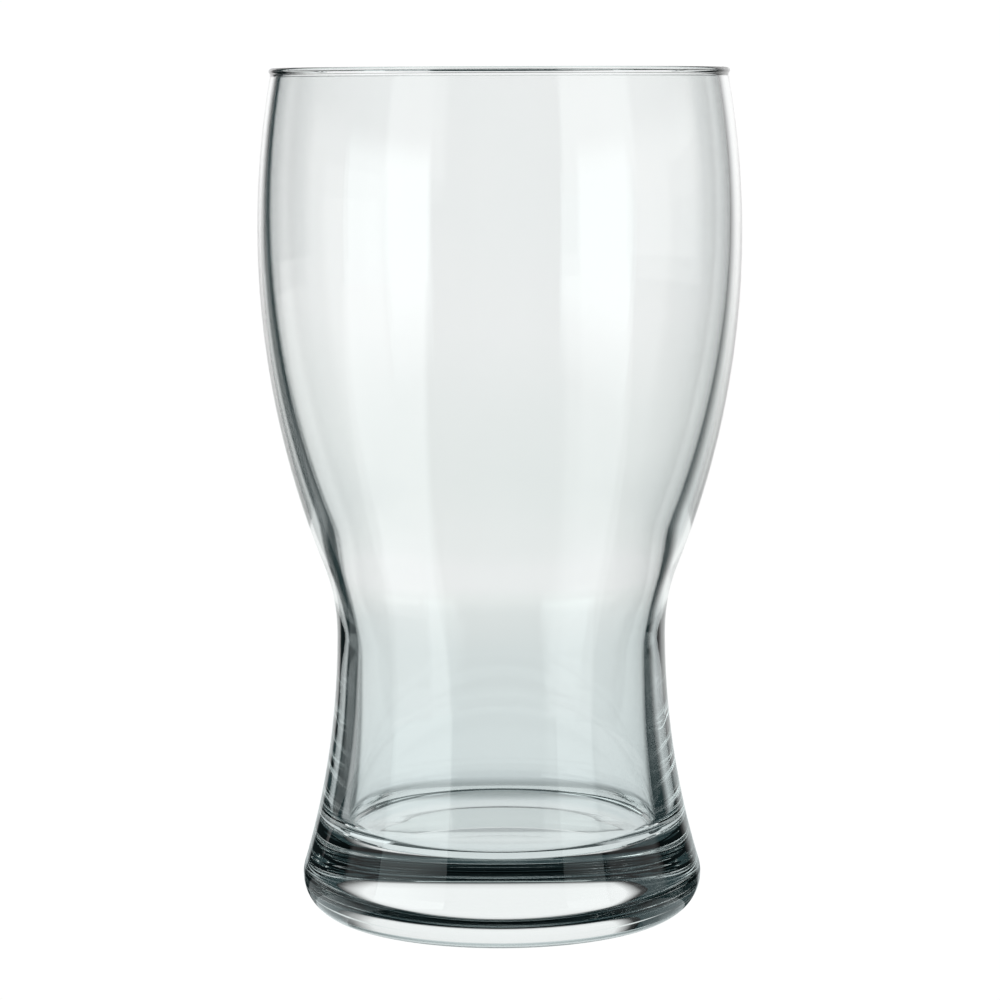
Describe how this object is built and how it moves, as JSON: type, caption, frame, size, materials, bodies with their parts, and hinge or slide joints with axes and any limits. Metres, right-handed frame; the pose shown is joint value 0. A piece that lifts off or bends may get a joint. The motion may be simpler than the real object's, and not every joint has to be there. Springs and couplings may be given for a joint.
{
  "type": "pint glass",
  "caption": "Clear pint beer glass with a fire-polished rim, a full belly, a drawn-in waist and a heavy flared foot.",
  "frame": {"origin": "centre of the foot, on the plane that the glass stands on", "axes": "+Z is the glass's own axis, from the foot up to the rim; the glass is round about it"},
  "size_m": [0.089, 0.089, 0.157],
  "materials": {
    "glass": "clear soda-lime glass, mould-blown and fire-polished, with a faint grey-green tint"
  },
  "bodies": {
    "root": {"foot": "glass", "waist": "glass", "bowl": "glass", "rim": "glass"}
  },
  "joints": []
}
